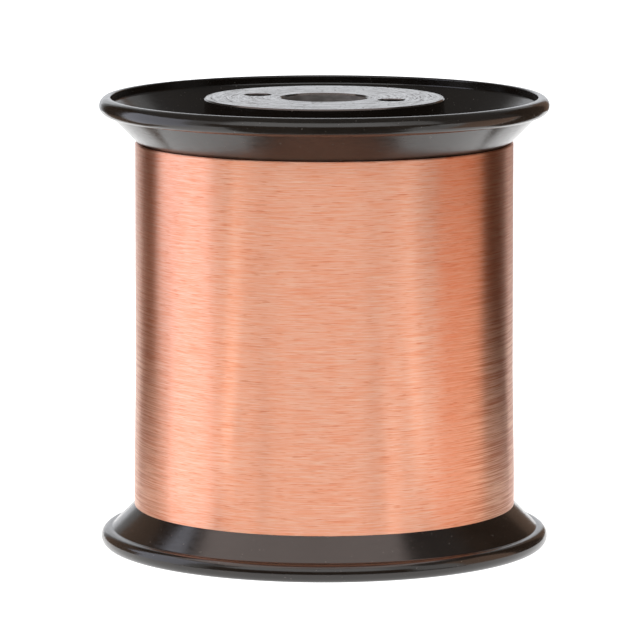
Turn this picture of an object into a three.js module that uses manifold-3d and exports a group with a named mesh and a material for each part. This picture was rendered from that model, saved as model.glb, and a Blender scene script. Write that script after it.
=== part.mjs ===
// Wire spool: a delivery spool with two conical flanges, wound full with very fine copper wire.
//
// All sizes are in millimetres. The spool stands on its lower rim: the origin is the centre of the
// base and +Z runs up the axis. The two ends are the same mouldings, one turned over.
//
// How it is built, from the outside in:
//   upper_flange, lower_flange   thin conical shells with a round rim and a short collar at the root
//   barrel                       the tube that the wire is wound on; its spigots seat in the collars
//   upper_hub, lower_hub         ribbed cups pushed into the barrel, with the bore and drive sockets
//   arbor_tube                   lines the bore between the two hub plates
//   wire_winding                 the wound wire as one ring
//   start_end_tape               holds the first turn on the barrel, under the winding
//   finish_end_tape              holds the last turn, on the back of the winding

import * as THREE from "three";
import { mergeVertices } from "three/addons/utils/BufferGeometryUtils.js";
import Module from "manifold-3d";

const wasm = await Module();
wasm.setup();

// ---- Driving dimensions, mm and degrees ----------------------------------------------------

const SPOOL_LENGTH = 160.8; // from rim crest to rim crest
const FLANGE_DIAMETER = 160;

const RIM_ROUND = 3.2; // radius of the rim's round section
const RIM_THICKNESS = 4.1; // from the outermost edge to the wall of the end recess
const RIM_LAND = 1.0; // width of the flat crest that the spool stands on
const RIM_LIP_ROUND = 0.5; // between the crest and the wall of the recess
const RECESS_FILLET = 1.0; // between the wall of the recess and the inner cone

const CONE_ANGLE = 45; // of the flange's wire side, from the spool's mid-plane
const CONE_DROP = 1.8; // from the middle of the rim's section out to the wire-side cone
const CONE_FILLET = 0.8; // between the cone and the rim's round
const FLANGE_WALL = 2.5; // thickness of the conical shell

const COLLAR_WALL = 2.2;
const COLLAR_DEPTH = 8; // how far the barrel's spigot enters the flange

const BARREL_DIAMETER = 93;
const BARREL_WALL = 3.5;
const SPIGOT_STEP = 2; // shoulder that the flange's root seats on
const STOP_DEPTH = 8.4; // from the shoulder down to the stop ring that carries the hub's skirt
const STOP_WIDTH = 2;
const STOP_HEIGHT = 3;

const HUB_SETBACK = 0.5; // the hub's face lies this far inside the rim's crest
const HUB_PLATE = 3.2;
const HUB_SKIRT_WALL = 2.5;
const HUB_EDGE = 0.8; // chamfer round the hub's face
const BORE_DIAMETER = 31;
const BORE_CHAMFER = 0.6;
const ARBOR_TUBE_WALL = 3;
const BOSS_WALL = 2.5;
const BOSS_DEPTH = 20;

const DRIVE_HOLE_DIAMETER = 9.5;
const DRIVE_HOLE_INSET = 7; // from the outside of the arbor tube to the middle of a drive hole
const DRIVE_ANGLE = -21.6; // of the pair, about the spool's axis
const DRIVE_DEPTH = 22;
const DRIVE_WALL = 2.2;

const RIB_COUNT = 12;
const RIB_THICKNESS = 2;
const RIB_DEPTH = 20;

const WINDING_MARGIN = 12.7; // how far the rims stand out past the topmost turns
const WINDING_BULGE = 0.75; // how much fuller the winding is near its lower end
const WINDING_BULGE_HEIGHT = 26.4; // of the first of the fullest turns, above the base
const WINDING_WAIST = 0.15; // how much fuller it is where the bulge begins
const WINDING_WAIST_HEIGHT = 62;
const WINDING_SHOULDER_ROUND = 0.6; // of the topmost turns, under the upper flange

const TAPE_THICKNESS = 0.4;
const TAPE_WIDTH = 12;
const TAPE_LENGTH = 28;
const START_TAPE_ANGLE = 40;
const START_TAPE_LIFT = 4; // above the lower flange's root
const FINISH_TAPE_ANGLE = 104;
const FINISH_TAPE_LIFT = 18; // above the base of the spool

const FIT_GAP = 0.3; // clearance between a piece and what it enters, seats on or lies against

const ROUND_SEGMENTS = 60;
const SMALL_SEGMENTS = 24;

// ---- Places that follow from them ----------------------------------------------------------

const MIDDLE = SPOOL_LENGTH / 2;
const FLANGE_RADIUS = FLANGE_DIAMETER / 2;
const BARREL_RADIUS = BARREL_DIAMETER / 2;
const BARREL_BORE = BARREL_RADIUS - BARREL_WALL;
const SPIGOT_RADIUS = BARREL_RADIUS - SPIGOT_STEP;
const COLLAR_BORE = SPIGOT_RADIUS + FIT_GAP;
const HUB_RADIUS = BARREL_BORE - FIT_GAP;
const HUB_FACE = MIDDLE - HUB_SETBACK; // heights like this one are counted from the mid-plane
const BORE_RADIUS = BORE_DIAMETER / 2;
const ARBOR_TUBE_RADIUS = BORE_RADIUS + ARBOR_TUBE_WALL;
const BOSS_BORE = ARBOR_TUBE_RADIUS + FIT_GAP;
const DRIVE_CIRCLE_RADIUS = ARBOR_TUBE_RADIUS + DRIVE_HOLE_INSET;
const WINDING_BORE = BARREL_RADIUS + FIT_GAP;
const WINDING_TOP_RADIUS = FLANGE_RADIUS - WINDING_MARGIN;
const WINDING_BULGE_RADIUS = WINDING_TOP_RADIUS + WINDING_BULGE;

const coneAngle = THREE.MathUtils.degToRad(CONE_ANGLE);
const alongCone = new THREE.Vector2(Math.cos(coneAngle), Math.sin(coneAngle));
const offCone = new THREE.Vector2(Math.sin(coneAngle), -Math.cos(coneAngle));

// The middle of the rim's round section, set so that the flat crest lies at the spool's end.
const landStart = RIM_THICKNESS - RIM_LIP_ROUND - RIM_LAND;
const rimAngle = Math.acos((RIM_ROUND - landStart) / RIM_ROUND);
const rimCentre = new THREE.Vector2(
  FLANGE_RADIUS - RIM_ROUND,
  MIDDLE - RIM_ROUND * Math.sin(rimAngle),
);

// A point on the wire-side cone, and the height of that cone, or of one offset from it, at a radius.
const conePoint = rimCentre.clone().addScaledVector(offCone, CONE_DROP);
const coneHeight = (radius, offset = 0) =>
  conePoint.y + (radius - conePoint.x) * Math.tan(coneAngle) + offset / Math.cos(coneAngle);

const ROOT = coneHeight(BARREL_RADIUS); // where the flange meets the barrel
const STOP_TOP = ROOT - STOP_DEPTH;

// ---- Materials -----------------------------------------------------------------------------

const blackPlastic = new THREE.MeshStandardMaterial({ color: 0x1b1612, roughness: 0.25, metalness: 0 });
const innerPlastic = new THREE.MeshStandardMaterial({ color: 0x24211f, roughness: 0.5, metalness: 0 });
const copper = new THREE.MeshStandardMaterial({ color: 0xe09a72, roughness: 0.3, metalness: 1 });
const clearTape = new THREE.MeshStandardMaterial({ color: 0xd8b98a, roughness: 0.4, metalness: 0 });

// ---- Shape helpers -------------------------------------------------------------------------

// Points of an arc about a centre, from one angle to another in degrees, both ends included.
function arc(centre, radius, from, to, steps) {
  const bend = [];
  for (let i = 0; i <= steps; i++) {
    const angle = THREE.MathUtils.degToRad(from + ((to - from) * i) / steps);
    bend.push(new THREE.Vector2(centre.x + radius * Math.cos(angle), centre.y + radius * Math.sin(angle)));
  }
  return bend;
}

const angleOf = (from, to) => THREE.MathUtils.radToDeg(Math.atan2(to.y - from.y, to.x - from.x));

const points = (...pairs) => pairs.map(([r, h]) => new THREE.Vector2(r, h));

// A ring from a closed outline of (radius, height) points that runs anticlockwise.
function ring(outline, segments = ROUND_SEGMENTS) {
  const closed = [...outline, outline[0]];
  return new THREE.LatheGeometry(closed, segments).rotateX(Math.PI / 2);
}

// The same outline on the other side of the mid-plane, still anticlockwise.
const turnedOver = (outline) => outline.map((p) => new THREE.Vector2(p.x, -p.y)).reverse();

// A cylinder along Z from one height to another.
function post(radius, low, high, x = 0, y = 0, segments = SMALL_SEGMENTS) {
  return new THREE.CylinderGeometry(radius, radius, high - low, segments)
    .rotateX(Math.PI / 2)
    .translate(x, y, (low + high) / 2);
}

// A curved block between two radii, centred on an angle, as long as it is measured at its inner face.
function curvedPatch(inner, outer, length, low, high, angle) {
  const half = length / 2 / inner;
  const middle = THREE.MathUtils.degToRad(angle);
  const outline = new THREE.Shape();
  outline.absarc(0, 0, outer, middle - half, middle + half, false);
  outline.absarc(0, 0, inner, middle + half, middle - half, true);
  return new THREE.ExtrudeGeometry(outline, {
    depth: high - low,
    bevelEnabled: false,
    curveSegments: 6,
  }).translate(0, 0, low);
}

// A geometry as a solid that can be cut and joined, and back again.
function solidFrom(geometry) {
  const bare = geometry.clone();
  bare.deleteAttribute("normal");
  bare.deleteAttribute("uv");
  const merged = mergeVertices(bare, 1e-4);
  return new wasm.Manifold(
    new wasm.Mesh({
      numProp: 3,
      vertProperties: merged.attributes.position.array,
      triVerts: new Uint32Array(merged.index.array),
    }),
  );
}

function geometryFrom(solid) {
  const mesh = solid.getMesh();
  const geometry = new THREE.BufferGeometry();
  geometry.setAttribute("position", new THREE.BufferAttribute(mesh.vertProperties, 3));
  geometry.setIndex(new THREE.BufferAttribute(mesh.triVerts, 1));
  geometry.computeVertexNormals();
  return geometry;
}

function piece(name, geometry, material) {
  const mesh = new THREE.Mesh(geometry, material);
  mesh.name = name;
  return mesh;
}

// ---- Flanges -------------------------------------------------------------------------------

// The rim's round and the fillet that carries it into the wire-side cone.
function rimOutline() {
  const drop = CONE_DROP + CONE_FILLET;
  const reach = Math.sqrt((RIM_ROUND + CONE_FILLET) ** 2 - drop ** 2);
  const fillet = rimCentre.clone().addScaledVector(offCone, drop).addScaledVector(alongCone, -reach);
  const toRim = angleOf(fillet, rimCentre);
  return [
    ...arc(fillet, CONE_FILLET, CONE_ANGLE + 90, toRim, 2),
    ...arc(rimCentre, RIM_ROUND, toRim - 180, 0, 6).slice(1),
    ...arc(rimCentre, RIM_ROUND, 0, THREE.MathUtils.radToDeg(rimAngle), 5).slice(1),
  ];
}

// The lip, the wall of the end recess and the fillet that carries it into the inner cone.
function recessOutline() {
  const wall = FLANGE_RADIUS - RIM_THICKNESS;
  const lip = new THREE.Vector2(wall + RIM_LIP_ROUND, MIDDLE - RIM_LIP_ROUND);
  const filletRadius = wall - RECESS_FILLET;
  const fillet = new THREE.Vector2(filletRadius, coneHeight(filletRadius, FLANGE_WALL + RECESS_FILLET));
  return [...arc(lip, RIM_LIP_ROUND, 90, 180, 2), ...arc(fillet, RECESS_FILLET, 0, CONE_ANGLE - 90, 2)];
}

// The inner cone runs down to the collar, whose bore takes the barrel's spigot.
function flangeOutline() {
  const collar = COLLAR_BORE + COLLAR_WALL;
  return [
    ...points([COLLAR_BORE, ROOT], [BARREL_RADIUS, ROOT]),
    ...rimOutline(),
    ...recessOutline(),
    ...points(
      [collar, coneHeight(collar, FLANGE_WALL)],
      [collar, ROOT + COLLAR_DEPTH],
      [COLLAR_BORE, ROOT + COLLAR_DEPTH],
    ),
  ];
}

const flanges = () => [
  piece("upper_flange", ring(flangeOutline()), blackPlastic),
  piece("lower_flange", ring(turnedOver(flangeOutline())), blackPlastic),
];

// ---- Barrel --------------------------------------------------------------------------------

// A tube with a spigot at each end and two stop rings inside.
function barrel() {
  const outerHalf = points(
    [BARREL_RADIUS, ROOT],
    [SPIGOT_RADIUS, ROOT],
    [SPIGOT_RADIUS, ROOT + COLLAR_DEPTH],
    [BARREL_BORE, ROOT + COLLAR_DEPTH],
    [BARREL_BORE, STOP_TOP],
    [BARREL_BORE - STOP_WIDTH, STOP_TOP],
    [BARREL_BORE - STOP_WIDTH, STOP_TOP - STOP_HEIGHT],
    [BARREL_BORE, STOP_TOP - STOP_HEIGHT],
  );
  return piece("barrel", ring([...outerHalf, ...turnedOver(outerHalf)]), innerPlastic);
}

// ---- Hubs ----------------------------------------------------------------------------------

// A hub lies under z = 0, with its outer face up and its drive holes on the X axis.
function hubGeometry() {
  const skirtEnd = STOP_TOP + FIT_GAP - HUB_FACE;
  const skirtBore = HUB_RADIUS - HUB_SKIRT_WALL;
  const bossRadius = BOSS_BORE + BOSS_WALL;
  const bossEnd = -HUB_PLATE - BOSS_DEPTH;
  let hub = solidFrom(
    ring(
      points(
        [BORE_RADIUS, -BORE_CHAMFER],
        [BORE_RADIUS, -HUB_PLATE],
        [BOSS_BORE, -HUB_PLATE],
        [BOSS_BORE, bossEnd],
        [bossRadius, bossEnd],
        [bossRadius, -HUB_PLATE],
        [skirtBore, -HUB_PLATE],
        [skirtBore, skirtEnd],
        [HUB_RADIUS, skirtEnd],
        [HUB_RADIUS, -HUB_EDGE],
        [HUB_RADIUS - HUB_EDGE, 0],
        [BORE_RADIUS + BORE_CHAMFER, 0],
      ),
    ),
  );

  // Ribs run from the middle of the boss's wall to the middle of the skirt's.
  const ribStart = bossRadius - BOSS_WALL / 2;
  const ribEnd = skirtBore + HUB_SKIRT_WALL / 2;
  const ribTop = -HUB_PLATE / 2;
  const ribBottom = -HUB_PLATE - RIB_DEPTH;
  for (let i = 0; i < RIB_COUNT; i++) {
    const rib = new THREE.BoxGeometry(ribEnd - ribStart, RIB_THICKNESS, ribTop - ribBottom)
      .translate((ribStart + ribEnd) / 2, 0, (ribTop + ribBottom) / 2)
      .rotateZ((i * 2 * Math.PI) / RIB_COUNT);
    hub = hub.add(solidFrom(rib));
  }

  // Drive sockets, closed at the bottom so that a drive pin can't reach past them.
  const socketBottom = -DRIVE_DEPTH - DRIVE_WALL;
  const holeRadius = DRIVE_HOLE_DIAMETER / 2;
  for (const x of [-DRIVE_CIRCLE_RADIUS, DRIVE_CIRCLE_RADIUS]) {
    hub = hub.add(solidFrom(post(holeRadius + DRIVE_WALL, socketBottom, ribTop, x)));
    hub = hub.subtract(solidFrom(post(holeRadius, -DRIVE_DEPTH, HUB_PLATE, x)));
  }

  // The boss's bore stays clear for the arbor tube where a socket's wall would reach into it.
  const tubeWay = post(BOSS_BORE, socketBottom - HUB_PLATE, -HUB_PLATE, 0, 0, ROUND_SEGMENTS);
  return geometryFrom(hub.subtract(solidFrom(tubeWay)));
}

function hubs() {
  const geometry = hubGeometry();
  const upper = piece("upper_hub", geometry, blackPlastic);
  upper.position.z = HUB_FACE;
  const lower = piece("lower_hub", geometry, blackPlastic);
  lower.position.z = -HUB_FACE;
  lower.rotation.x = Math.PI;
  const pair = new THREE.Group();
  pair.rotation.z = THREE.MathUtils.degToRad(DRIVE_ANGLE);
  pair.add(upper, lower);
  return pair;
}

function arborTube() {
  const end = HUB_FACE - HUB_PLATE - FIT_GAP;
  const outline = points(
    [BORE_RADIUS, -end],
    [ARBOR_TUBE_RADIUS, -end],
    [ARBOR_TUBE_RADIUS, end],
    [BORE_RADIUS, end],
  );
  return piece("arbor_tube", ring(outline), innerPlastic);
}

// ---- Wire and tapes ------------------------------------------------------------------------

// The winding fills the space between the cones. Its outside is nearly straight above the waist.
function windingOutline() {
  const bulge = WINDING_BULGE_RADIUS;
  const shoulder = new THREE.Vector2(WINDING_TOP_RADIUS - WINDING_SHOULDER_ROUND, 0);
  shoulder.y = coneHeight(shoulder.x, -FIT_GAP - WINDING_SHOULDER_ROUND);
  return [
    ...points(
      [WINDING_BORE, -coneHeight(WINDING_BORE, -FIT_GAP)],
      [bulge, -coneHeight(bulge, -FIT_GAP)],
      [bulge, WINDING_BULGE_HEIGHT - MIDDLE],
      [WINDING_TOP_RADIUS + WINDING_WAIST, WINDING_WAIST_HEIGHT - MIDDLE],
    ),
    ...arc(shoulder, WINDING_SHOULDER_ROUND, 0, CONE_ANGLE + 90, 4),
    ...points([WINDING_BORE, coneHeight(WINDING_BORE, -FIT_GAP)]),
  ];
}

// The turns lie over the tape that holds the first of them, so the winding has a pocket there.
function winding() {
  const whole = solidFrom(ring(windingOutline()));
  const pocket = solidFrom(startTape(FIT_GAP));
  return piece("wire_winding", geometryFrom(whole.subtract(pocket)), copper);
}

// The tape on the barrel, or the same shape grown on every side.
function startTape(grow) {
  const low = START_TAPE_LIFT - ROOT;
  return curvedPatch(
    WINDING_BORE - grow,
    WINDING_BORE + TAPE_THICKNESS + grow,
    TAPE_LENGTH + 2 * grow,
    low - grow,
    low + TAPE_WIDTH + grow,
    START_TAPE_ANGLE,
  );
}

function finishTape() {
  const inner = WINDING_BULGE_RADIUS + FIT_GAP;
  const low = FINISH_TAPE_LIFT - MIDDLE;
  return curvedPatch(inner, inner + TAPE_THICKNESS, TAPE_LENGTH, low, low + TAPE_WIDTH, FINISH_TAPE_ANGLE);
}

// ---- Assembly ------------------------------------------------------------------------------

const spool = new THREE.Group();
spool.position.z = MIDDLE;
spool.add(
  ...flanges(),
  barrel(),
  hubs(),
  arborTube(),
  winding(),
  piece("start_end_tape", startTape(0), clearTape),
  piece("finish_end_tape", finishTape(), clearTape),
);

const model = new THREE.Group();
model.add(spool);

export default model;
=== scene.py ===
import math

import bmesh
import bpy
from mathutils import Matrix, Vector, noise


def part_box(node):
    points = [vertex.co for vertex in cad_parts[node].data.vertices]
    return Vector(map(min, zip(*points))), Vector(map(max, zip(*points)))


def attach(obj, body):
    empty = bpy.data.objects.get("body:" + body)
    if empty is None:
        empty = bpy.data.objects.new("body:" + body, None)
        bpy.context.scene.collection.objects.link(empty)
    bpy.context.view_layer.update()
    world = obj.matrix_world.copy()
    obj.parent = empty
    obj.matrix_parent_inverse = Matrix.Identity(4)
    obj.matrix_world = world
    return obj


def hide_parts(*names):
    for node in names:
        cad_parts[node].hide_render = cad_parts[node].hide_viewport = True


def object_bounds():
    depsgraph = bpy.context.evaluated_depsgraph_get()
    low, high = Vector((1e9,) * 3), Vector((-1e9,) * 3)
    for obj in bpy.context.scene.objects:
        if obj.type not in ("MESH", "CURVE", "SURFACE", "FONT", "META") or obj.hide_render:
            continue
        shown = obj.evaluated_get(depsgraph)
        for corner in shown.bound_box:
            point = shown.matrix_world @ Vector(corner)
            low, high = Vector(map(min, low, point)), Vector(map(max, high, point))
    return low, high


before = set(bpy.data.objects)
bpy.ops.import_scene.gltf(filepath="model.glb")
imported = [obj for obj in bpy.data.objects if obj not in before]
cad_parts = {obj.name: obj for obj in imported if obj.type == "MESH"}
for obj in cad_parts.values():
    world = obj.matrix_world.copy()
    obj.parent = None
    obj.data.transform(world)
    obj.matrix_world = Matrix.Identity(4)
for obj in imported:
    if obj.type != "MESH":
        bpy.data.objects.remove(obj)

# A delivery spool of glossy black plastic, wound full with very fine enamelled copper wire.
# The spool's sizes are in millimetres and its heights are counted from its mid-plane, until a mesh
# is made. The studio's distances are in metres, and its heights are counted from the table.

cad_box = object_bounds()
MM = 0.001


# ---- Sizes ---------------------------------------------------------------------------------

spool_low, spool_high = (corner / MM for corner in cad_box)
MIDDLE = (spool_low.z + spool_high.z) / 2
HALF_LENGTH = MIDDLE - spool_low.z
FLANGE_RADIUS = (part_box("upper_flange")[1] / MM).x
BARREL_RADIUS = (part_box("barrel")[1] / MM).x

RIM_ROUND = 3.2
RIM_THICKNESS = 4.1
RIM_LAND = 1.0
RIM_LIP_ROUND = 0.5
RECESS_FILLET = 1.0
CONE_DROP = 1.8
CONE_FILLET = 0.8
FLANGE_WALL = 2.5
COLLAR_WALL = 2.2
COLLAR_DEPTH = 8.0

BARREL_WALL = 3.5
SPIGOT_STEP = 2.0
STOP_DEPTH = 8.4
STOP_WIDTH = 2.0
STOP_HEIGHT = 3.0
FIT_GAP = 0.3

HUB_SETBACK = 0.5
HUB_PLATE = 3.2
HUB_SKIRT_WALL = 2.5
HUB_EDGE = 0.5
BORE_RADIUS = 15.5
BORE_EDGE = 0.6
ARBOR_TUBE_WALL = 3.0
BOSS_WALL = 2.5
BOSS_DEPTH = 20.0
DRIVE_HOLE_RADIUS = 4.75
DRIVE_HOLE_EDGE = 0.35
DRIVE_HOLE_INSET = 7.0
DRIVE_ANGLE = math.radians(-21.6)
DRIVE_DEPTH = 22.0
DRIVE_WALL = 2.2
RIB_COUNT = 12
RIB_THICKNESS = 2.0
RIB_DEPTH = 20.0

WINDING_MARGIN = 12.7
WINDING_BULGE = 0.75
WINDING_BULGE_HEIGHT = -54.0
WINDING_WAIST = 0.15
WINDING_WAIST_HEIGHT = -18.4
WINDING_SHOULDER_ROUND = 0.6
WINDING_GAP = 0.05  # between the wire and the flanges' cones
TURN_PITCH = 0.46  # real turns lie about 0.17 mm apart; this is as fine as still shows
TURN_DEPTH = 0.04
TURN_CREST = 0.45  # where between two valleys a turn's crest lies
TURN_WANDER = 0.008  # how far one turn strays in or out along its way
TURN_SLIP = 0.03  # how far it strays up or down
TURN_WANDER_LENGTH = 8.0  # along the wire, between one stray and the next
TURN_WANDER_HEIGHT = 0.2  # and up the winding, so that each turn strays by itself
WINDING_SAG = 0.015  # how far whole groups of turns lie in or out
SAG_LENGTH = 40.0
SAG_HEIGHT = 2.2

TAPE_THICKNESS = 0.15
TAPE_WIDTH = 12.0
TAPE_LENGTH = 28.0
START_TAPE_ANGLE = 40.0
START_TAPE_LIFT = 4.0
FINISH_TAPE_ANGLE = 104.0
FINISH_TAPE_HEIGHT = -62.4

FLANGE_STEPS = 256  # how many flat stretches a full turn of each piece has
TUBE_STEPS = 128
HUB_STEPS = 160
POST_STEPS = 64
WINDING_STEPS = 160
TAPE_STEPS = 48  # for the length of a strip

CREASE = 28  # degrees; an edge sharper than this is drawn crisp
WIRE_CREASE = 20
CROSSOVER = 0.15  # from a straight's ends to the points that keep it flat
LONG_STRAIGHT = 8 * CROSSOVER

BARREL_BORE = BARREL_RADIUS - BARREL_WALL
HUB_RADIUS = BARREL_BORE - FIT_GAP
HUB_FACE = HALF_LENGTH - HUB_SETBACK
ARBOR_TUBE_RADIUS = BORE_RADIUS + ARBOR_TUBE_WALL
BOSS_BORE = ARBOR_TUBE_RADIUS + FIT_GAP
DRIVE_CIRCLE_RADIUS = ARBOR_TUBE_RADIUS + DRIVE_HOLE_INSET
WINDING_BORE = BARREL_RADIUS + FIT_GAP
WINDING_TOP_RADIUS = FLANGE_RADIUS - WINDING_MARGIN

rim_angle = math.acos(1 - (RIM_THICKNESS - RIM_LIP_ROUND - RIM_LAND) / RIM_ROUND)
RIM_CENTRE = (FLANGE_RADIUS - RIM_ROUND, HALF_LENGTH - RIM_ROUND * math.sin(rim_angle))


def cone_height(radius, offset=0.0):
    """Height of the wire-side cone at a radius, or of a surface that far outside it."""
    return RIM_CENTRE[1] + radius - RIM_CENTRE[0] - (CONE_DROP - offset) * math.sqrt(2)


ROOT = cone_height(BARREL_RADIUS)
STOP_TOP = ROOT - STOP_DEPTH


# ---- Making meshes -------------------------------------------------------------------------


def arc(centre, radius, start, end, step=7.5):
    """Points along an arc, angles in degrees, both ends included."""
    count = max(2, round(abs(end - start) / step))
    angles = [math.radians(start + (end - start) * i / count) for i in range(count + 1)]
    return [(centre[0] + radius * math.cos(a), centre[1] + radius * math.sin(a)) for a in angles]


def held_flat(outline):
    """The outline with a point close to each end of its long straights, so that they shade flat."""
    result = []
    for here, after in zip(outline, outline[1:] + outline[:1]):
        result.append(here)
        start, end = Vector(here), Vector(after)
        if (end - start).length > LONG_STRAIGHT:
            step = (end - start).normalized() * CROSSOVER
            result += [tuple(start + step), tuple(end - step)]
    return result


def turned_over(outline):
    """The same outline at the spool's other end."""
    return [(r, -h) for r, h in reversed(outline)]


def finished(name, mesh_data, materials, crease=CREASE):
    """Turns a bmesh that holds metres into an object, with smooth rounds and crisp edges."""
    bmesh.ops.recalc_face_normals(mesh_data, faces=mesh_data.faces)
    mesh = bpy.data.meshes.new(name)
    mesh_data.to_mesh(mesh)
    mesh_data.free()
    for material in materials:
        mesh.materials.append(material)
    mesh.shade_smooth()
    mesh.set_sharp_from_angle(angle=math.radians(crease))
    made = bpy.data.objects.new(name, mesh)
    bpy.context.scene.collection.objects.link(made)
    return made


def spun(outline, steps, sweep=math.tau, start=0.0):
    """A ring, or a part of one, from a closed outline of radii and heights from the mid-plane."""
    mesh_data = bmesh.new()
    facing = Vector((math.cos(start), math.sin(start), 0))
    upward = Vector((0, 0, 1))
    corners = [mesh_data.verts.new((facing * r + upward * (MIDDLE + h)) * MM) for r, h in outline]
    edges = [mesh_data.edges.new(pair) for pair in zip(corners, corners[1:] + corners[:1])]
    whole = sweep == math.tau
    bmesh.ops.spin(
        mesh_data,
        geom=corners + edges,
        cent=(0, 0, 0),
        axis=(0, 0, 1),
        angle=sweep,
        steps=steps,
        use_merge=whole,
        use_duplicate=False,
    )
    bmesh.ops.remove_doubles(mesh_data, verts=mesh_data.verts, dist=1e-7)
    if not whole:
        bmesh.ops.holes_fill(mesh_data, edges=mesh_data.edges, sides=0)
    return mesh_data


def combine(piece, tool, operation):
    """Joins a tool to a piece or cuts it away, and removes the tool."""
    change = piece.modifiers.new("combine", "BOOLEAN")
    change.object = tool
    change.operation = operation
    change.solver = "EXACT"
    graph = bpy.context.evaluated_depsgraph_get()
    mesh = bpy.data.meshes.new_from_object(piece.evaluated_get(graph))
    piece.modifiers.remove(change)
    piece.data = mesh
    bpy.data.objects.remove(tool)


# ---- Materials -----------------------------------------------------------------------------


def srgb(code):
    """A hex colour as linear red, green, blue and alpha."""
    values = [int(code[i : i + 2], 16) / 255 for i in (1, 3, 5)]
    return [v / 12.92 if v <= 0.04045 else ((v + 0.055) / 1.055) ** 2.4 for v in values] + [1.0]


def add(tree, kind, inputs=(), **settings):
    """Adds a node with its settings. An input is a value or another node's output."""
    made = tree.nodes.new(kind)
    for key, value in settings.items():
        setattr(made, key, value)
    for socket, value in dict(inputs).items():
        if isinstance(value, bpy.types.NodeSocket):
            tree.links.new(value, made.inputs[socket])
        else:
            made.inputs[socket].default_value = value
    return made


def new_material(name):
    """A material, its node tree and its shader."""
    material = bpy.data.materials.new(name)
    material.use_nodes = True
    tree = material.node_tree
    tree.nodes.clear()
    shader = add(tree, "ShaderNodeBsdfPrincipled")
    add(tree, "ShaderNodeOutputMaterial", {"Surface": shader.outputs["BSDF"]})
    return material, tree, shader


def stretched(tree, around, along):
    """Object coordinates counted in real lengths, mm: one sideways and one up the axis."""
    place = add(tree, "ShaderNodeTexCoord").outputs["Object"]
    scale = (1 / (around * MM), 1 / (around * MM), 1 / (along * MM))
    return add(tree, "ShaderNodeMapping", {"Vector": place, "Scale": scale}).outputs["Vector"]


def grain(tree, vector, detail=3.0, roughness=0.55):
    """Noise whose features are about one unit of its vector across."""
    inputs = {"Vector": vector, "Scale": 1.0, "Detail": detail, "Roughness": roughness}
    return add(tree, "ShaderNodeTexNoise", inputs).outputs["Fac"]


def between(tree, value, low, high, start, end):
    """A value mapped smoothly from one range to another and held at its ends."""
    inputs = {"Value": value, "From Min": low, "From Max": high, "To Min": start, "To Max": end}
    return add(tree, "ShaderNodeMapRange", inputs, interpolation_type="SMOOTHSTEP").outputs[0]


def blended(tree, share, first, second):
    """A colour between two others."""
    return add(tree, "ShaderNodeMix", {0: share, 6: first, 7: second}, data_type="RGBA").outputs[2]


def bumped(tree, shader, height, depth, strength):
    """Tilts the shader's normal by a height that is worth a depth in mm."""
    inputs = {"Strength": strength, "Distance": depth * MM, "Height": height}
    bump = add(tree, "ShaderNodeBump", inputs)
    tree.links.new(bump.outputs["Normal"], shader.inputs["Normal"])


STYRENE_IOR = 1.57
ENAMEL_IOR = 1.55
POLYESTER_IOR = 1.6


def moulded_styrene():
    """Injection-moulded black polystyrene: a deep gloss with a faint ripple, and settled dust.

    Real dust is finer than 0.8 mm, but finer specks don't show.
    """
    material, tree, shader = new_material("moulded_black_styrene")
    cloud = grain(tree, stretched(tree, 18, 18), detail=4)
    rub = grain(tree, stretched(tree, 3.5, 0.6), detail=4, roughness=0.7)
    dust = grain(tree, stretched(tree, 0.8, 0.8), detail=0)
    speck = between(tree, dust, 0.81, 0.85, 0.0, 0.3)
    body = blended(tree, between(tree, cloud, 0.3, 0.7, 0, 1), srgb("#19130e"), srgb("#201a15"))
    tree.links.new(blended(tree, speck, body, srgb("#8d8781")), shader.inputs["Base Color"])
    tree.links.new(between(tree, rub, 0.25, 0.75, 0.12, 0.22), shader.inputs["Roughness"])
    shader.inputs["IOR"].default_value = STYRENE_IOR
    bumped(tree, shader, grain(tree, stretched(tree, 2.4, 2.4), detail=5), 0.05, 0.15)
    return material


def scuffed_styrene():
    """The same plastic on the hub's face, where machine plates have turned: rings of scuffs.

    Real scuffs are finer than 0.5 mm, but finer ones don't show.
    """
    material, tree, shader = new_material("scuffed_black_styrene")
    place = add(tree, "ShaderNodeTexCoord").outputs["Object"]
    level = add(tree, "ShaderNodeVectorMath", {0: place, 1: (1, 1, 0)}, operation="MULTIPLY")
    flat = level.outputs[0]
    radius = add(tree, "ShaderNodeVectorMath", {0: flat}, operation="LENGTH").outputs["Value"]

    def rings(length, width):
        """Coordinates whose features are long around the axis and narrow from ring to ring."""
        reach = {0: flat, "Scale": 1 / (length * MM)}
        side = add(tree, "ShaderNodeVectorMath", reach, operation="SCALE")
        far = add(tree, "ShaderNodeMath", {0: radius, 1: 1 / (width * MM)}, operation="MULTIPLY")
        shift = add(tree, "ShaderNodeCombineXYZ", {"Z": far.outputs[0]})
        both = {0: side.outputs[0], 1: shift.outputs[0]}
        return add(tree, "ShaderNodeVectorMath", both, operation="ADD").outputs[0]

    haze = grain(tree, rings(9, 0.9), detail=5, roughness=0.65)
    scratch = between(tree, grain(tree, rings(14, 0.5), detail=1), 0.63, 0.67, 0, 1)
    fleck = between(tree, grain(tree, stretched(tree, 1.6, 1.6), detail=1), 0.66, 0.69, 0, 1)
    marks = add(tree, "ShaderNodeMath", {0: scratch, 1: fleck}, operation="MAXIMUM").outputs[0]
    smooth = between(tree, haze, 0.3, 0.75, 0.1, 0.3)
    rough = add(tree, "ShaderNodeMix", {0: marks, 2: smooth, 3: 0.6}).outputs[0]
    tree.links.new(rough, shader.inputs["Roughness"])
    body = blended(tree, marks, srgb("#241f1a"), srgb("#2c2724"))
    tree.links.new(body, shader.inputs["Base Color"])
    shader.inputs["IOR"].default_value = STYRENE_IOR
    bumped(tree, shader, haze, 0.04, 0.3)
    return material


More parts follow.
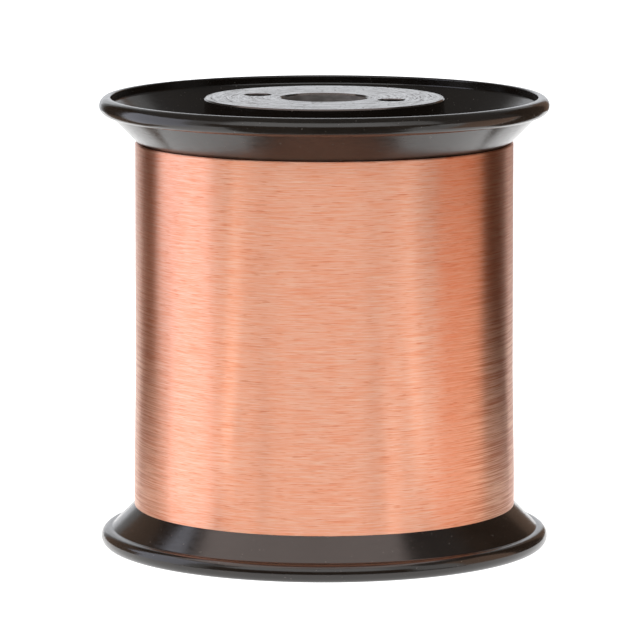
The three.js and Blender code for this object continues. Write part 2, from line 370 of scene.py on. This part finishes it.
def satin_styrene():
    """Black polystyrene with the satin of an unpolished core: inside the bore and on the barrel."""
    material, tree, shader = new_material("satin_black_styrene")
    cloud = grain(tree, stretched(tree, 6, 6), detail=4)
    draw_marks = grain(tree, stretched(tree, 0.6, 9), detail=3)
    body = blended(tree, between(tree, cloud, 0.3, 0.7, 0, 1), srgb("#1f1c1a"), srgb("#2b2825"))
    tree.links.new(body, shader.inputs["Base Color"])
    tree.links.new(between(tree, draw_marks, 0.3, 0.7, 0.34, 0.5), shader.inputs["Roughness"])
    shader.inputs["IOR"].default_value = STYRENE_IOR
    bumped(tree, shader, draw_marks, 0.04, 0.2)
    return material


def bore_styrene_painted_light():
    """The same plastic inside the bore, dull, and painted light grey for the light that reaches the
    bore's wall.
    """
    material, tree, shader = new_material("bore_black_styrene_painted_light")
    cloud = grain(tree, stretched(tree, 5, 1.5), detail=4)
    # Painted light: the light grey stands in for the light that reaches the bore's wall.
    body = blended(tree, between(tree, cloud, 0.3, 0.7, 0, 1), srgb("#6f6b69"), srgb("#8b8785"))
    tree.links.new(body, shader.inputs["Base Color"])
    tree.links.new(between(tree, cloud, 0.3, 0.7, 0.4, 0.55), shader.inputs["Roughness"])
    shader.inputs["IOR"].default_value = STYRENE_IOR
    bumped(tree, shader, cloud, 0.03, 0.2)
    return material


def side_painted_light_share(tree):
    """Where the turns' light and shade is painted strongest: on the spool's two sides, more at its
    foot than its top.
    """
    place = add(tree, "ShaderNodeTexCoord").outputs["Object"]
    spot = add(tree, "ShaderNodeSeparateXYZ", {0: place}).outputs
    right = between(tree, spot["X"], 38 * MM, 60 * MM, 0, 0.75)
    left = between(tree, spot["X"], -50 * MM, -64 * MM, 0, 0.6)
    side = add(tree, "ShaderNodeMath", {0: right, 1: left}, operation="MAXIMUM").outputs[0]
    low = between(tree, spot["Z"], 60 * MM, 115 * MM, 1, 0.45)
    return add(tree, "ShaderNodeMath", {0: side, 1: low}, operation="MULTIPLY").outputs[0]


def enamelled_copper():
    """Bright soft copper under clear enamel. Level turns spread light up and down, not sideways.

    Real turns lie about 0.17 mm apart. The streaks are painted highlights and painted shade of
    single turns, up to three turns wide, as finer ones don't show.
    """
    material, tree, shader = new_material("enamelled_copper_wire")
    # Painted highlights and painted shade: lighter streaks and darker dashes stand in for the light
    # and shade that single turns catch.
    streak = grain(tree, stretched(tree, 13, 0.36), detail=3, roughness=0.6)
    fine = grain(tree, stretched(tree, 7, 0.22), detail=2, roughness=0.6)
    mixed = add(tree, "ShaderNodeMix", {0: 0.5, 2: streak, 3: fine}).outputs[0]
    share = between(tree, mixed, 0.3, 0.7, 0, 1)
    painted_turn_highlights = blended(tree, share, srgb("#f9a07a"), srgb("#ffcbb0"))
    dash = grain(tree, stretched(tree, 6, 0.3), detail=1)
    shade = between(tree, dash, 0.6, 0.7, 0, 0.5)
    painted_turn_light = blended(tree, shade, painted_turn_highlights, srgb("#e4794c"))
    # Painted highlights and painted shade, stronger on the spool's right and left sides and towards
    # its foot, where light grazes the turns.
    stray = grain(tree, stretched(tree, 24, 0.42), detail=3, roughness=0.65)
    side_lit_share = between(tree, stray, 0.36, 0.64, 0, 1)
    side_painted_turn_light = blended(tree, side_lit_share, srgb("#cc7040"), srgb("#ffd0b0"))
    body = blended(tree, side_painted_light_share(tree), painted_turn_light, side_painted_turn_light)
    tree.links.new(body, shader.inputs["Base Color"])
    shader.inputs["Metallic"].default_value = 1.0
    shader.inputs["Roughness"].default_value = 0.45
    shader.inputs["Coat Weight"].default_value = 0.1
    shader.inputs["Coat Roughness"].default_value = 0.3
    shader.inputs["Coat IOR"].default_value = ENAMEL_IOR
    shader.inputs["Anisotropic"].default_value = 1.0
    shader.inputs["Anisotropic Rotation"].default_value = 0.25
    round_axis = add(tree, "ShaderNodeTangent", direction_type="RADIAL", axis="Z")
    tree.links.new(round_axis.outputs["Tangent"], shader.inputs["Tangent"])
    return material


def film_tape():
    """Amber polyester film tape: smooth, a little wrinkled, with a haze of adhesive."""
    material, tree, shader = new_material("amber_film_tape")
    wrinkle = grain(tree, stretched(tree, 9, 2.5), detail=2)
    haze = grain(tree, stretched(tree, 7, 3), detail=1)
    body = blended(tree, between(tree, haze, 0.3, 0.7, 0, 1), srgb("#c07a32"), srgb("#cf8c42"))
    tree.links.new(body, shader.inputs["Base Color"])
    tree.links.new(between(tree, wrinkle, 0.3, 0.7, 0.1, 0.2), shader.inputs["Roughness"])
    shader.inputs["IOR"].default_value = POLYESTER_IOR
    bumped(tree, shader, wrinkle, 0.05, 0.3)
    return material


MOULDED = moulded_styrene()
SCUFFED = scuffed_styrene()
SATIN = satin_styrene()
BORE_PAINTED_LIGHT = bore_styrene_painted_light()
COPPER = enamelled_copper()
TAPE = film_tape()


def stand_for(node, piece):
    """Puts a piece in the place of a node of the frame."""
    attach(piece, "root")
    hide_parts(node)


# ---- Flanges -------------------------------------------------------------------------------


def rim_outline():
    """The rim's round, and the fillet that carries it into the wire-side cone."""
    drop = CONE_DROP + CONE_FILLET
    reach = math.sqrt((RIM_ROUND + CONE_FILLET) ** 2 - drop**2)
    half = math.sqrt(0.5)
    fillet = (RIM_CENTRE[0] + (drop - reach) * half, RIM_CENTRE[1] - (drop + reach) * half)
    to_rim = math.degrees(math.atan2(RIM_CENTRE[1] - fillet[1], RIM_CENTRE[0] - fillet[0]))
    return [
        *arc(fillet, CONE_FILLET, 135, to_rim),
        *arc(RIM_CENTRE, RIM_ROUND, to_rim - 180, math.degrees(rim_angle))[1:],
    ]


def recess_outline():
    """The lip, the wall of the end recess, and the fillet that carries it into the inner cone."""
    wall = FLANGE_RADIUS - RIM_THICKNESS
    lip = (wall + RIM_LIP_ROUND, HALF_LENGTH - RIM_LIP_ROUND)
    fillet_radius = wall - RECESS_FILLET
    fillet = (fillet_radius, cone_height(fillet_radius, FLANGE_WALL + RECESS_FILLET))
    return [*arc(lip, RIM_LIP_ROUND, 90, 180, 15), *arc(fillet, RECESS_FILLET, 0, -45)]


def flange_outline():
    """The upper flange: a collar on the barrel's spigot, the cone, and the rim."""
    collar_bore = BARREL_RADIUS - SPIGOT_STEP + FIT_GAP
    collar = collar_bore + COLLAR_WALL
    return held_flat(
        [
            (collar_bore, ROOT),
            (BARREL_RADIUS, ROOT),
            *rim_outline(),
            *recess_outline(),
            (collar, cone_height(collar, FLANGE_WALL)),
            (collar, ROOT + COLLAR_DEPTH),
            (collar_bore, ROOT + COLLAR_DEPTH),
        ]
    )


upper_shell = finished("upper_flange_shell", spun(flange_outline(), FLANGE_STEPS), [MOULDED])
lower_outline = turned_over(flange_outline())
lower_shell = finished("lower_flange_shell", spun(lower_outline, FLANGE_STEPS), [MOULDED])
stand_for("upper_flange", upper_shell)
stand_for("lower_flange", lower_shell)


# ---- Barrel and arbor tube -----------------------------------------------------------------


def barrel_outline():
    """A tube with a thinner spigot at each end, and a ring inside each end that stops the hub."""
    spigot = BARREL_RADIUS - SPIGOT_STEP
    end = ROOT + COLLAR_DEPTH
    outer_half = [
        (BARREL_RADIUS, ROOT),
        (spigot, ROOT),
        (spigot, end),
        (BARREL_BORE, end),
        (BARREL_BORE, STOP_TOP),
        (BARREL_BORE - STOP_WIDTH, STOP_TOP),
        (BARREL_BORE - STOP_WIDTH, STOP_TOP - STOP_HEIGHT),
        (BARREL_BORE, STOP_TOP - STOP_HEIGHT),
    ]
    return outer_half + turned_over(outer_half)


def arbor_tube_outline():
    """A plain tube that lines the bore from hub plate to hub plate."""
    end = HUB_FACE - HUB_PLATE - FIT_GAP
    return [
        (BORE_RADIUS, -end),
        (ARBOR_TUBE_RADIUS, -end),
        (ARBOR_TUBE_RADIUS, end),
        (BORE_RADIUS, end),
    ]


barrel_tube = finished("barrel_tube", spun(barrel_outline(), TUBE_STEPS), [SATIN])
stand_for("barrel", barrel_tube)
arbor_liner = finished("arbor_liner", spun(arbor_tube_outline(), TUBE_STEPS), [SATIN])
stand_for("arbor_tube", arbor_liner)


# ---- Hubs ----------------------------------------------------------------------------------

HUB_FINISHES = [MOULDED, SCUFFED, BORE_PAINTED_LIGHT]
LEVEL = 0.9  # a face whose normal points up more than this counts as level


def post(outline, x):
    """A turned post from half of its section, which starts and ends on the axis, stood at an x."""
    mesh_data = spun(outline, POST_STEPS)
    bmesh.ops.translate(mesh_data, verts=mesh_data.verts, vec=(x * MM, 0, 0))
    return finished("post", mesh_data, [MOULDED])


def plain_post(radius, low, high, x):
    """A straight round post between two heights."""
    return post([(0, low), (radius, low), (radius, high), (0, high)], x)


def rib(start, end, low, high, angle):
    """An upright plate between two radii, at an angle about the axis."""
    mesh_data = bmesh.new()
    bmesh.ops.create_cube(mesh_data, size=MM)
    bmesh.ops.scale(mesh_data, verts=mesh_data.verts, vec=(end - start, RIB_THICKNESS, high - low))
    middle = Vector(((start + end) / 2, 0, MIDDLE + (low + high) / 2)) * MM
    bmesh.ops.translate(mesh_data, verts=mesh_data.verts, vec=middle)
    turn = Matrix.Rotation(angle, 3, "Z")
    bmesh.ops.rotate(mesh_data, verts=mesh_data.verts, cent=(0, 0, 0), matrix=turn)
    return finished("rib", mesh_data, [MOULDED])


def hub():
    """The upper hub, a ribbed cup with a bore and two blind drive sockets."""
    skirt_bore = HUB_RADIUS - HUB_SKIRT_WALL
    skirt_end = STOP_TOP + FIT_GAP
    boss = BOSS_BORE + BOSS_WALL
    under = HUB_FACE - HUB_PLATE
    outline = [
        (BORE_RADIUS, HUB_FACE - BORE_EDGE),
        (BORE_RADIUS, under),
        (BOSS_BORE, under),
        (BOSS_BORE, under - BOSS_DEPTH),
        (boss, under - BOSS_DEPTH),
        (boss, under),
        (skirt_bore, under),
        (skirt_bore, skirt_end),
        (HUB_RADIUS, skirt_end),
        (HUB_RADIUS, HUB_FACE - HUB_EDGE),
        (HUB_RADIUS - HUB_EDGE, HUB_FACE),
        (BORE_RADIUS + BORE_EDGE, HUB_FACE),
    ]
    piece = finished("upper_hub_cup", spun(outline, HUB_STEPS), HUB_FINISHES)
    middle_of_plate = HUB_FACE - HUB_PLATE / 2
    for i in range(RIB_COUNT):
        turn = math.tau * i / RIB_COUNT
        start, end = boss - BOSS_WALL / 2, skirt_bore + HUB_SKIRT_WALL / 2
        combine(piece, rib(start, end, under - RIB_DEPTH, middle_of_plate, turn), "UNION")
    bottom = HUB_FACE - DRIVE_DEPTH
    hole, edge = DRIVE_HOLE_RADIUS, DRIVE_HOLE_EDGE
    hole_outline = [
        (0, bottom),
        (hole, bottom),
        (hole, HUB_FACE - edge),
        (hole + 2 * edge, HUB_FACE + edge),
        (0, HUB_FACE + edge),
    ]
    for x in (-DRIVE_CIRCLE_RADIUS, DRIVE_CIRCLE_RADIUS):
        wall = plain_post(hole + DRIVE_WALL, bottom - DRIVE_WALL, middle_of_plate, x)
        combine(piece, wall, "UNION")
        combine(piece, post(hole_outline, x), "DIFFERENCE")
    tube_way = plain_post(BOSS_BORE, bottom - 2 * DRIVE_WALL, under, 0)
    combine(piece, tube_way, "DIFFERENCE")
    mesh = piece.data
    mesh.transform(Matrix.Rotation(DRIVE_ANGLE, 4, "Z"))
    face = (MIDDLE + HUB_FACE - HUB_EDGE / 2) * MM
    for polygon in mesh.polygons:
        if polygon.center.z > face and polygon.normal.z > LEVEL:
            polygon.material_index = HUB_FINISHES.index(SCUFFED)
        # The bore's wall takes the plastic painted light grey.
        elif polygon.center.xy.length < BORE_RADIUS * MM:
            polygon.material_index = HUB_FINISHES.index(BORE_PAINTED_LIGHT)
    mesh.shade_smooth()
    mesh.set_sharp_from_angle(angle=math.radians(CREASE))
    return piece


def mirrored(piece, name):
    """A copy of a piece on the other side of the mid-plane."""
    copy = bpy.data.objects.new(name, piece.data.copy())
    bpy.context.scene.collection.objects.link(copy)
    over = Matrix.Translation((0, 0, 2 * MIDDLE * MM)) @ Matrix.Diagonal((1, 1, -1, 1))
    copy.data.transform(over)
    copy.data.flip_normals()
    return copy


upper_cup = hub()
stand_for("upper_hub", upper_cup)
stand_for("lower_hub", mirrored(upper_cup, "lower_hub_cup"))


# ---- Winding -------------------------------------------------------------------------------

winding_shoulder = WINDING_TOP_RADIUS - WINDING_SHOULDER_ROUND
shoulder_gap = WINDING_GAP + WINDING_SHOULDER_ROUND
WINDING_SHOULDER = (winding_shoulder, cone_height(winding_shoulder, -shoulder_gap))
WINDING_BULGE_RADIUS = WINDING_TOP_RADIUS + WINDING_BULGE
WINDING_FOOT = -cone_height(WINDING_BULGE_RADIUS, -WINDING_GAP)


def winding_radius(height):
    """Radius of the outermost turns: full at the foot, and nearly straight above the waist."""
    waist = WINDING_TOP_RADIUS + WINDING_WAIST
    if height < WINDING_BULGE_HEIGHT:
        return WINDING_BULGE_RADIUS
    if height < WINDING_WAIST_HEIGHT:
        share = (height - WINDING_BULGE_HEIGHT) / (WINDING_WAIST_HEIGHT - WINDING_BULGE_HEIGHT)
        return WINDING_BULGE_RADIUS + share * (waist - WINDING_BULGE_RADIUS)
    share = (height - WINDING_WAIST_HEIGHT) / (WINDING_SHOULDER[1] - WINDING_WAIST_HEIGHT)
    return waist + share * (WINDING_TOP_RADIUS - waist)


def winding_outline():
    """Each turn is a crest between two valleys. The ends lie along the flanges' cones."""
    count = round((WINDING_SHOULDER[1] - WINDING_FOOT) / TURN_PITCH)
    pitch = (WINDING_SHOULDER[1] - WINDING_FOOT) / count
    turns = []
    for i in range(count):
        low = WINDING_FOOT + pitch * i
        crest = low + pitch * TURN_CREST
        turns += [(winding_radius(low) - TURN_DEPTH, low), (winding_radius(crest), crest)]
    return [
        (WINDING_BORE, -cone_height(WINDING_BORE, -WINDING_GAP)),
        *turns,
        *arc(WINDING_SHOULDER, WINDING_SHOULDER_ROUND, 0, 135, 22.5),
        (WINDING_BORE, cone_height(WINDING_BORE, -WINDING_GAP)),
    ]


def uneven(mesh_data):
    """Lays the turns a little unevenly: each strays by itself, and groups of them sag together."""
    for vertex in mesh_data.verts:
        place = vertex.co / MM
        out = Vector((place.x, place.y, 0))
        if out.length < winding_shoulder:
            continue
        turn = Vector((*(place.xy / TURN_WANDER_LENGTH), place.z / TURN_WANDER_HEIGHT))
        group = Vector((*(place.xy / SAG_LENGTH), place.z / SAG_HEIGHT))
        stray = noise.noise(turn) * TURN_WANDER + noise.noise(group) * WINDING_SAG
        vertex.co += out.normalized() * stray * MM
        vertex.co.z += noise.noise(-turn) * TURN_SLIP * MM


def winding():
    """The wound wire: one ring with a level ridge for each turn that shows."""
    mesh_data = spun(winding_outline(), WINDING_STEPS)
    uneven(mesh_data)
    return finished("wound_wire", mesh_data, [COPPER], WIRE_CREASE)


wound_wire = winding()
stand_for("wire_winding", wound_wire)


# ---- Tapes ---------------------------------------------------------------------------------


def tape(name, radius, low, angle):
    """A short strip of tape bent round a radius, centred on an angle in degrees."""
    sweep = TAPE_LENGTH / radius
    outline = [
        (radius, low),
        (radius + TAPE_THICKNESS, low),
        (radius + TAPE_THICKNESS, low + TAPE_WIDTH),
        (radius, low + TAPE_WIDTH),
    ]
    start = math.radians(angle) - sweep / 2
    return finished(name, spun(outline, TAPE_STEPS, sweep, start), [TAPE])


start_strip = tape("start_tape_strip", WINDING_BORE, START_TAPE_LIFT - ROOT, START_TAPE_ANGLE)
stand_for("start_end_tape", start_strip)
finish_radius = WINDING_BULGE_RADIUS + FIT_GAP / 2
finish_strip = tape("finish_tape_strip", finish_radius, FINISH_TAPE_HEIGHT, FINISH_TAPE_ANGLE)
stand_for("finish_end_tape", finish_strip)


# ---- Studio --------------------------------------------------------------------------------

VIEW_PITCH = math.radians(8.163)
VIEW_DISTANCE = 1.8778
VIEW_ANGLE = math.radians(6.967)
VIEW_SIDE = -0.00153

WHITE = (1, 1, 1)
WARM = (1, 0.66, 0.48)
COPPER_TONED = (1, 0.64, 0.47)
ROSY = (1, 0.83, 0.78)
COOL = (0.97, 1, 1.14)
FAINTLY_COOL = (0.97, 0.99, 1.03)

# How far out the cards stand: in front, to the left and the right, close to the spool, and behind.
FRONT = 0.52
LEFT = 0.3
RIGHT = 0.21
CLOSE = 0.2
BEHIND = 1.0
TABLE_LEVEL = 0.001  # just above the table
TABLE_RADIUS = 12
CARD_STEPS = 32
WIRE_LIGHT_DISTANCE = 0.28
FOOT_LIGHT_DISTANCE = 0.165


def camera():
    """A long lens, a little above the spool, aimed at its middle."""
    data = bpy.data.cameras.new("camera")
    data.sensor_width = 36
    data.angle = VIEW_ANGLE
    data.clip_end = 50
    made = bpy.data.objects.new("camera", data)
    back, up = math.cos(VIEW_PITCH) * VIEW_DISTANCE, math.sin(VIEW_PITCH) * VIEW_DISTANCE
    made.location = (VIEW_SIDE, -back, MIDDLE * MM + up)
    made.rotation_euler = (math.pi / 2 - VIEW_PITCH, 0, 0)
    bpy.context.scene.collection.objects.link(made)
    bpy.context.scene.camera = made


def floor():
    """A seamless white table, lit through from below as a light table is."""
    material, tree, shader = new_material("white_table")
    shader.inputs["Base Color"].default_value = (0.3, 0.3, 0.3, 1)
    shader.inputs["Roughness"].default_value = 1.0
    shader.inputs["Specular IOR Level"].default_value = 0.0
    shader.inputs["Emission Color"].default_value = (1, 1, 1, 1)
    shader.inputs["Emission Strength"].default_value = 1.3
    mesh_data = bmesh.new()
    bmesh.ops.create_circle(mesh_data, cap_ends=True, segments=96, radius=TABLE_RADIUS)
    made = finished("table", mesh_data, [material])


def card(name, start, end, foot, head, brightness, tint=WHITE):
    """A curved card that only reflections see, from its foot to its head.

    Each end is a distance out and a height. Angles count from the camera's side to the right.
    """
    material, tree, shader = new_material(name)
    tree.nodes.remove(shader)
    glow = add(tree, "ShaderNodeEmission", {"Color": (*tint, 1), "Strength": brightness})
    tree.links.new(glow.outputs[0], tree.nodes["Material Output"].inputs["Surface"])
    mesh_data = bmesh.new()
    first = math.radians(start - 90)
    facing = Vector((math.cos(first), math.sin(first), 0))
    points = [facing * out + Vector((0, 0, height)) for out, height in (foot, head)]
    ends = [mesh_data.verts.new(point) for point in points]
    edge = mesh_data.edges.new(ends)
    sweep = math.radians(end - start)
    bmesh.ops.spin(mesh_data, geom=[*ends, edge], axis=(0, 0, 1), angle=sweep, steps=CARD_STEPS)
    made = finished(name, mesh_data, [material])
    made.visible_camera = made.visible_diffuse = made.visible_shadow = False


def softbox(name, size, place, toward, strength, tint, lit):
    """A flat lamp of a size, turned toward a point, that lights only the pieces it is given."""
    data = bpy.data.lights.new(name, "AREA")
    data.shape = "RECTANGLE"
    data.size, data.size_y = size
    data.energy = strength * math.pi * size[0] * size[1]
    data.color = tint
    lamp = bpy.data.objects.new(name, data)
    lamp.location = place
    lamp.rotation_euler = (Vector(place) - Vector(toward)).to_track_quat("Z", "Y").to_euler()
    lamp.visible_camera = False
    bpy.context.scene.collection.objects.link(lamp)
    receivers = bpy.data.collections.new(name)
    for piece in lit:
        receivers.objects.link(piece)
    lamp.light_linking.receiver_collection = receivers


def wire_light(name, distance, direction, sweep, height, strength):
    """A low lamp on the table that lights only the wire. Angles count as a card's do."""
    angle = math.radians(direction)
    width = 2 * distance * math.tan(math.radians(sweep) / 2)
    place = (distance * math.sin(angle), -distance * math.cos(angle), height / 2)
    softbox(name, (width, height), place, (0, 0, height / 2), strength, WHITE, [wound_wire])


def room():
    """A white room: plain white behind the spool, and dimmer in what the spool reflects."""
    sun = bpy.data.lights.new("room_light", "SUN")
    sun.energy = 1.7
    sun.angle = math.radians(62)
    light = bpy.data.objects.new("room_light", sun)
    light.rotation_euler = Vector((-0.13, 0.19, 0.97)).to_track_quat("Z", "Y").to_euler()
    light.visible_glossy = False
    bpy.context.scene.collection.objects.link(light)

    world = bpy.data.worlds.new("white_room")
    world.use_nodes = True
    tree = world.node_tree
    tree.nodes.clear()
    path = add(tree, "ShaderNodeLightPath")
    reflected = between(tree, path.outputs["Is Glossy Ray"], 0, 1, 0.45, 0.18)
    seen = add(tree, "ShaderNodeMix", {0: path.outputs["Is Camera Ray"], 2: reflected, 3: 1.0})
    sky = add(tree, "ShaderNodeBackground", {"Strength": seen.outputs[0]})
    add(tree, "ShaderNodeOutputWorld", {"Surface": sky.outputs[0]})
    bpy.context.scene.world = world


def lamps():
    """A softbox overhead for the plastic, and low lamps round the front for the wire."""
    above = (-0.11, 0, 0.75)
    below = (-0.11, 0, 0)
    softbox("overhead_softbox", (0.98, 0.7), above, below, 1.8, ROSY, [lower_shell, upper_cup])
    wire_light("left_wire_light", WIRE_LIGHT_DISTANCE, -42, 26, 0.062, 2.95)
    wire_light("left_middle_wire_light", WIRE_LIGHT_DISTANCE, -16, 26, 0.073, 3.3)
    wire_light("right_middle_wire_light", WIRE_LIGHT_DISTANCE, 10, 26, 0.074, 3.25)
    wire_light("right_wire_light", WIRE_LIGHT_DISTANCE, 36, 26, 0.064, 3)
    wire_light("left_foot_light", FOOT_LIGHT_DISTANCE, -42, 18, 0.042, 1.2)
    wire_light("right_foot_light", FOOT_LIGHT_DISTANCE, 39, 20, 0.045, 1.4)


def cards():
    """The bright and dark cards that the gloss and the copper reflect, front to back."""
    card("front_table_flag", -48, 46, (0.092, TABLE_LEVEL), (FRONT, TABLE_LEVEL), 0.06)
    card("front_flag", -58, 54, (FRONT, TABLE_LEVEL), (FRONT, 0.235), 0.1, WARM)
    card("front_softbox", -50, 35, (FRONT, 0.235), (0.34, 0.56), 1.65)
    card("front_softbox_end", 35, 58, (FRONT, 0.235), (0.34, 0.56), 1.1)
    card("left_softbox", -110, -66, (LEFT, 0), (LEFT, 0.3), 1.6, COOL)
    card("left_fill", -72, -50, (0.54, 0), (0.54, 0.5), 0.7)
    card("right_fill", 38, 62, (RIGHT, 0), (RIGHT, 0.13), 1.15)
    card("right_fill_end", 62, 96, (RIGHT, 0), (RIGHT, 0.165), 0.95, COPPER_TONED)
    card("right_flag", 96, 130, (CLOSE, 0), (CLOSE, 0.27), 0.08, WARM)
    card("left_flag", -131, -106, (CLOSE, 0), (CLOSE, 0.12), 0.25, WARM)
    card("left_high_flag", -131, -104, (CLOSE, 0.12), (CLOSE, 0.27), 0.06, WARM)
    card("left_foot_flag", -106, -92, (CLOSE, 0), (CLOSE, 0.05), 0.3, WARM)
    card("backdrop", 163, 204, (BEHIND, 0), (BEHIND, 0.55), 1.1, FAINTLY_COOL)
    card("backdrop_right", 145, 163, (BEHIND, 0), (BEHIND, 0.55), 0.25, WARM)
    card("backdrop_left", 204, 213, (BEHIND, 0), (BEHIND, 0.55), 0.35)
    card("backdrop_top", 147, 207, (BEHIND, 0.55), (BEHIND, 0.9), 0.5)


camera()
floor()
room()
lamps()
cards()
bpy.context.scene.view_settings.view_transform = "Standard"
